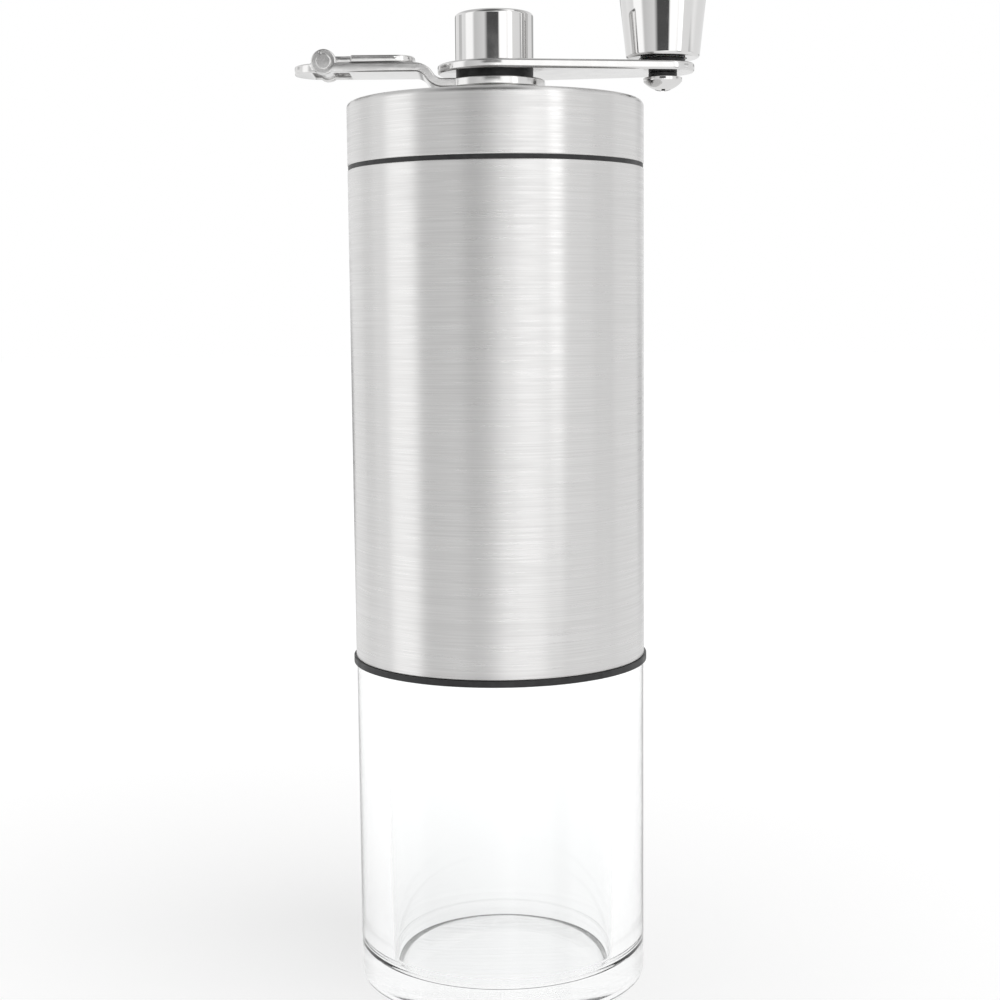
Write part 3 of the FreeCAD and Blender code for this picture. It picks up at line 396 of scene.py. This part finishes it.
cap_thickness = 0.9
bush_hole_radius = 7.05
cap_rounding = 1.0
cap_inner_rounding = 0.4
bush_hole_edge = 0.15
cap_radius, cap_foot, cap_top = round_size("cap_shell")
cap_bore = cap_radius - steel_wall
cap_ceiling = cap_top - cap_thickness
cap = plain_object("steel_cap", lathe([
    (cap_bore, cap_foot, inner_edge),
    (cap_radius, cap_foot, outer_edge),
    (cap_radius, cap_top, cap_rounding),
    (bush_hole_radius, cap_top, bush_hole_edge),
    (bush_hole_radius, cap_ceiling),
    (cap_bore, cap_ceiling, cap_inner_rounding)], steel_steps))
shade(cap, brushed)
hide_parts("cap_shell")
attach(cap, "lid")
dress(nylon, "cap_plug")

white_nylon = finish("white_nylon", Specular_IOR_Level=0.4, Subsurface_Weight=0.1, Subsurface_Scale=0.001)
tint(white_nylon, grain(white_nylon, 600), low=(0.7, 0.69, 0.66), high=(0.78, 0.77, 0.74))
gloss(white_nylon, grain(white_nylon, 400), low=0.32, high=0.45)
dress(white_nylon, "hub_bush", "thrust_washer", "knob_sleeve")


# The hub of the crank: a turned steel post with a hexagon for the two arms and a round stud on top.
# The collar that is pressed on to the stud is turned from steel and polished.

dress(turned, "crank_hub", "hub_clip")
polished = finish("polished_steel", Metallic=1.0)
tint(polished, grain(polished, 35), low=(0.68, 0.675, 0.67), high=(0.74, 0.735, 0.73))
gloss(polished, grain(polished, 300), low=0.03, high=0.07)
relief(polished, grain(polished, 90, detail=1.0), height=0.03, strength=0.2)

stud_hole_radius = 3.05
collar_crown = 1.2
collar_top_rounding = 0.7
collar_foot_rounding = 0.15
polished_steps = 96
collar_radius, collar_foot, collar_top = round_size("hub_collar")
collar = plain_object("hub_knob", lathe([
    (0, collar_top),
    (collar_radius, collar_top, collar_top_rounding),
    (collar_radius, collar_foot, collar_foot_rounding),
    (stud_hole_radius, collar_foot),
    (stud_hole_radius, collar_top - collar_crown),
    (0, collar_top - collar_crown)], polished_steps))
shade(collar, polished)
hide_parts("hub_collar")
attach(collar, "crank")


# The two arms: strips of stainless steel, blanked, with the edges tumbled round and then polished.
# The lower one is set up by its own thickness beside the hub, so the two lie level.
# A nylon disc fills the space between them.

FLAT = math.radians(1.0)
CREASE = 0.5


def eased(name, node, rounding):
    """A copy of a built solid with its outer edges rounded off, by a rounding in mm."""
    shortest_edge = 0.1 * MM
    bm = own_copy(node)
    bmesh.ops.dissolve_limit(bm, angle_limit=FLAT, verts=bm.verts[:], edges=bm.edges[:])
    bmesh.ops.remove_doubles(bm, verts=bm.verts[:], dist=shortest_edge)
    bmesh.ops.recalc_face_normals(bm, faces=bm.faces[:])
    convex = [edge for edge in bm.edges if edge.is_manifold and edge.is_convex]
    outer = [edge for edge in convex if edge.calc_face_angle() > CREASE]
    bmesh.ops.bevel(bm, geom=outer, offset=rounding * MM, offset_type="OFFSET", segments=4, profile=0.5,
                    affect="EDGES", material=-1)
    bmesh.ops.recalc_face_normals(bm, faces=bm.faces[:])
    return plain_object(name, bm)


satin = finish("satin_steel", Metallic=1.0)
tint(satin, grain(satin, 400), low=(0.66, 0.655, 0.65), high=(0.73, 0.725, 0.72))
gloss(satin, grain(satin, 250), low=0.1, high=0.16)
relief(satin, grain(satin, 900, detail=2.0), height=0.01, strength=0.25)

short_arm_rounding = 0.28
long_arm_rounding = 0.4
for name, node, rounding in (
        ("short_arm", "lower_arm", short_arm_rounding),
        ("long_arm", "upper_arm", long_arm_rounding)):
    arm = eased(name, node, rounding)
    shade(arm, satin)
    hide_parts(node)
    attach(arm, "crank")
dress(nylon, "arm_spacer")


# The flip tab: a small plate of stainless steel with a rolled eye, tumbled and polished like the arms.
# Its pin has two rounded heads and goes through the lugs of the short arm.

plate_rounding = 0.3
pin_rounding = 0.22
for name, node, rounding, body in (
        ("flip_plate", "folding_tab", plate_rounding, "tab"),
        ("tab_pin", "hinge_pin", pin_rounding, "crank")):
    item = eased(name, node, rounding)
    shade(item, satin)
    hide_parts(node)
    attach(item, body)


# The knob: a tapered handle of polished steel, turned hollow, with a domed cap pressed into its top.
# It turns on a nylon sleeve that fits its bore.

knob_low, knob_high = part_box("knob")
knob_axis = round((knob_low.x + knob_high.x) / 2 / MM, SIZE_DIGITS)
knob_foot, knob_rim = round_size("knob", knob_axis)[1:]
knob_foot_radius = 6.15
shoulder_radius = 9.83
shoulder_height = 192.23
rim_radius = 8.15
cap_seat_radius = 7.45
nut_well_radius = 6.0
knob_bore = 4.05
knob_foot_rounding = 0.5
shoulder_rounding = 2.1
rim_rounding = 0.3
dome_radius, dome_foot, dome_top = round_size("knob_cap", knob_axis)
dome_flat_radius = 4.155
dome_rounding = 4.0
dome_edge_rounding = 0.12
nut_well_floor = round_size("knob_sleeve", knob_axis)[2]
knob = plain_object("taper_knob", lathe([
    (knob_bore, knob_foot),
    (knob_foot_radius, knob_foot, knob_foot_rounding),
    (shoulder_radius, shoulder_height, shoulder_rounding),
    (rim_radius, knob_rim, rim_rounding),
    (cap_seat_radius, knob_rim),
    (cap_seat_radius, dome_foot),
    (nut_well_radius, dome_foot),
    (nut_well_radius, nut_well_floor),
    (knob_bore, nut_well_floor)], polished_steps, knob_axis))
dome = plain_object("knob_dome", lathe([
    (0, dome_foot),
    (dome_radius, dome_foot),
    (dome_radius, knob_rim, dome_edge_rounding),
    (dome_flat_radius, dome_top, dome_rounding),
    (0, dome_top)], polished_steps, knob_axis))
for item, node in ((knob, "knob"), (dome, "knob_cap")):
    shade(item, polished)
    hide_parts(node)
    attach(item, "knob")


# The knob's screw: polished steel with a domed head and a cross slot, put up through the arm from below.
# A nut inside the knob holds it, and black nylon washers lie on both sides of the arm.

shank_radius = 1.7
head_flat_radius = 2.018
head_rim = 155.15
head_rounding = 1.95
head_edge_rounding = 0.1
tip_rounding = 0.3
screw_sharp = 0.5
screw_steps = 64
head_radius, head_foot, screw_tip = round_size("handle_screw", knob_axis)
head_seat = round_size("screw_washer", knob_axis)[1]
screw = plain_object("knob_screw", lathe([
    (0, head_foot),
    (head_flat_radius, head_foot, head_rounding),
    (head_radius, head_rim, head_edge_rounding),
    (head_radius, head_seat, head_edge_rounding),
    (shank_radius, head_seat),
    (shank_radius, screw_tip, tip_rounding),
    (0, screw_tip)], screw_steps, knob_axis))
slot_length = 2.5
slot_width = 0.6
slot_depth = 0.95
cutter_height = 1.6
cutter_place = Vector((knob_axis, 0, head_foot + slot_depth - cutter_height / 2)) * MM
for length, width in ((slot_length, slot_width), (slot_width, slot_length)):
    cutter_size = Matrix.Diagonal((length * MM, width * MM, cutter_height * MM, 1.0))
    bm = bmesh.new()
    bmesh.ops.create_cube(bm, size=1.0, matrix=Matrix.Translation(cutter_place) @ cutter_size)
    combine(screw, plain_object("slot", bm), "DIFFERENCE")
shade(screw, polished, screw_sharp)
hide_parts("handle_screw")
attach(screw, "crank")

washer_bore = 1.75
washer_rounding = 0.15
for name, node in (("lower_washer", "screw_washer"), ("upper_washer", "knob_washer")):
    washer_radius, washer_foot, washer_top = round_size(node, knob_axis)
    washer = plain_object(name, lathe([
        (washer_bore, washer_foot),
        (washer_radius, washer_foot, washer_rounding),
        (washer_radius, washer_top, washer_rounding),
        (washer_bore, washer_top)], screw_steps, knob_axis))
    shade(washer, nylon)
    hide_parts(node)
    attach(washer, "crank")
dress(turned, "knob_nut")


# The floor: a matt white sheet that the mill stands on, and that keeps its soft shade.
# It glows a little where it is looked at, and more further out, so that it runs into the white behind it.

floor_reach = 4.0
glow_start = 0.05
glow_end = 0.4
near_glow = 0.11
far_glow = 0.24
bm = bmesh.new()
bmesh.ops.create_grid(bm, x_segments=1, y_segments=1, size=floor_reach)
floor = plain_object("floor", bm)
white = finish("floor_white", Base_Color=(0.88, 0.88, 0.88, 1.0), Roughness=0.9, Specular_IOR_Level=0.0,
               Emission_Color=(1.0, 1.0, 1.0, 1.0))
tree = white.node_tree
rays = tree.nodes.new("ShaderNodeLightPath").outputs
seen = calculate(tree, "ADD", rays["Is Camera Ray"], rays["Is Glossy Ray"])
seen = calculate(tree, "ADD", seen, rays["Is Transmission Ray"])
distance = measure(tree, "LENGTH", tree.nodes.new("ShaderNodeTexCoord").outputs["Object"])
glow = calculate(tree, "MULTIPLY", seen, spread(tree, distance, glow_start, glow_end, near_glow, far_glow))
tree.links.new(glow, tree.nodes["Principled BSDF"].inputs["Emission Strength"])
floor.data.materials.append(white)
floor.visible_glossy = False


# The tent: white cloth all round, with brighter and darker panels that only the steel mirrors.
# Bearings are degrees round from the camera's side, positive to its right.
# Heights are the sine of the angle above the horizon.

def mixed(tree, share, first, second):
    """Goes from the first grey to the second as share goes from 0 to 1, each a level or a step's output."""
    mix = tree.nodes.new("ShaderNodeMix")
    mix.data_type = "RGBA"
    tree.links.new(share, mix.inputs["Factor"])
    colours = [socket for socket in mix.inputs if socket.type == "RGBA"]
    for socket, value in zip(colours, (first, second)):
        if isinstance(value, float):
            socket.default_value = (value, value, value, 1.0)
        else:
            tree.links.new(value, socket)
    return [socket for socket in mix.outputs if socket.type == "RGBA"][0]


def band(tree, value, start, end, stops):
    """Grey levels along a value that runs from start to end, each stop a place and its level."""
    ramp = tree.nodes.new("ShaderNodeValToRGB")
    while len(ramp.color_ramp.elements) < len(stops):
        ramp.color_ramp.elements.new(0.5)
    for stop, (place, level) in zip(ramp.color_ramp.elements, stops):
        stop.position = (place - start) / (end - start)
        stop.color = (level, level, level, 1.0)
    tree.links.new(spread(tree, value, start, end), ramp.inputs["Fac"])
    return ramp.outputs["Color"]


world = bpy.data.worlds.new("studio")
bpy.context.scene.world = world
world.use_nodes = True
tree = world.node_tree
look = tree.nodes.new("ShaderNodeTexCoord").outputs["Generated"]
split = tree.nodes.new("ShaderNodeSeparateXYZ")
tree.links.new(look, split.inputs["Vector"])
height = split.outputs["Z"]
nearer = calculate(tree, "MULTIPLY", split.outputs["Y"], -1.0)
radians = calculate(tree, "ARCTAN2", split.outputs["X"], nearer)
bearing = calculate(tree, "MULTIPLY", radians, math.degrees(1.0))

full_turn = (-180, 180)
wall_heights = (-0.5, 0.5)
panels = band(tree, bearing, *full_turn, (
    (-180, 0.92), (-128, 0.95), (-120, 1.02), (-95, 0.94), (-90, 1.3), (-68, 1.3), (-60, 0.7), (-30, 0.84),
    (-10, 1.08), (1, 1.5), (6, 1.85), (11, 1.65), (14, 1.4), (30, 1.5), (40, 1.25), (43, 2.1), (51, 2.0),
    (54, 0.95), (78, 0.94), (91, 1.08), (106, 0.94), (160, 0.9), (180, 0.92)))

shaded_foot = 0.3
foot_height = band(tree, height, *wall_heights, ((-0.15, 1.0), (-0.05, 0.0)))
foot_width = band(tree, bearing, *full_turn, (
    (12, 0.0), (24, 0.25), (38, 0.35), (43, 1.0), (53, 1.0), (57, 0.0)))
panels = mixed(tree, calculate(tree, "MULTIPLY", foot_height, foot_width), panels, shaded_foot)

dark_panel = 0.09
dark_height = band(tree, height, *wall_heights, (
    (-0.14, 0.0), (-0.11, 1.0), (-0.02, 1.0), (0.0, 0.0), (0.124, 0.0), (0.136, 1.0), (0.22, 1.0),
    (0.26, 0.0)))
dark_width = band(tree, bearing, *full_turn, (
    (-175, 0.0), (-172, 0.8), (-158, 0.8), (-154, 0.0), (-128, 0.0), (-125, 0.4), (-112, 0.4), (-109, 0.0),
    (-30, 0.0), (-20, 1.0), (11, 1.0), (15, 0.0), (78, 0.0), (82, 0.5), (100, 0.5), (104, 0.0), (140, 0.0),
    (143, 0.6), (155, 0.6), (159, 0.0)))
panels = mixed(tree, calculate(tree, "MULTIPLY", dark_height, dark_width), panels, dark_panel)

towards_bright_roof = (0.35, -0.35, 0.87)
roof_edge = 0.4
roof_inside = 0.7
roof = band(tree, measure(tree, "DOT_PRODUCT", look, towards_bright_roof), 0.0, 1.0, (
    (0.0, 0.62), (0.86, 0.7), (0.92, 1.25), (1.0, 1.35)))
mirrored = mixed(tree, spread(tree, height, roof_edge, roof_inside), panels, roof)

pale_ground = 0.97
ground_edge = -0.3
ground_inside = -0.6
mirrored = mixed(tree, spread(tree, height, ground_edge, ground_inside), mirrored, pale_ground)

towards_dark_card = (-0.1, -0.55, 0.83)
dark_card = 0.1
card = band(tree, measure(tree, "DOT_PRODUCT", look, towards_dark_card), 0.0, 1.0, ((0.76, 0.0), (0.95, 1.0)))
mirrored = mixed(tree, card, mirrored, dark_card)

plain_light = 0.88
white_behind = 1.0
through_jar = band(tree, bearing, *full_turn, (
    (-125, 1.0), (-108, 0.8), (-72, 0.8), (-55, 1.0), (55, 1.0), (72, 0.8), (108, 0.8), (125, 1.0)))
rays = tree.nodes.new("ShaderNodeLightPath").outputs
cloth = mixed(tree, rays["Is Glossy Ray"], plain_light, mirrored)
cloth = mixed(tree, rays["Is Transmission Ray"], cloth, through_jar)
cloth = mixed(tree, rays["Is Camera Ray"], cloth, white_behind)
tree.links.new(cloth, tree.nodes["Background"].inputs["Color"])


# The lamp and the camera: one round soft box stands above the mill, in front and to the right.
# The camera stands a little above the middle of the mill and looks slightly down.

lamp_place = Vector((0.4, -0.35, 0.95))
lamp_target = Vector((0.0, 0.0, 0.08))
lamp = bpy.data.lights.new("soft_box", "AREA")
lamp.shape = "DISK"
lamp.size = 0.8
lamp.energy = 2.0
soft_box = bpy.data.objects.new("soft_box", lamp)
soft_box.location = lamp_place
soft_box.rotation_euler = (lamp_target - lamp_place).to_track_quat("-Z", "Y").to_euler()
soft_box.visible_glossy = False
soft_box.visible_transmission = False
bpy.context.scene.collection.objects.link(soft_box)

camera_place = (0.0, -0.3005, 0.11768)
yaw = 0.00067
pitch = 0.11
roll = -0.00959
lens = bpy.data.cameras.new("camera")
lens.lens = 62.94
lens.sensor_width = 36.0
camera = bpy.data.objects.new("camera", lens)
ahead = Vector((math.sin(yaw) * math.cos(pitch), math.cos(yaw) * math.cos(pitch), -math.sin(pitch)))
side = Vector((math.cos(yaw), -math.sin(yaw), 0.0))
level_up = side.cross(ahead)
right = math.cos(roll) * side + math.sin(roll) * level_up
up = math.cos(roll) * level_up - math.sin(roll) * side
camera.matrix_world = Matrix((right, up, -ahead)).transposed().to_4x4()
camera.location = camera_place
bpy.context.scene.collection.objects.link(camera)
bpy.context.scene.camera = camera
bpy.context.scene.view_settings.view_transform = "Standard"
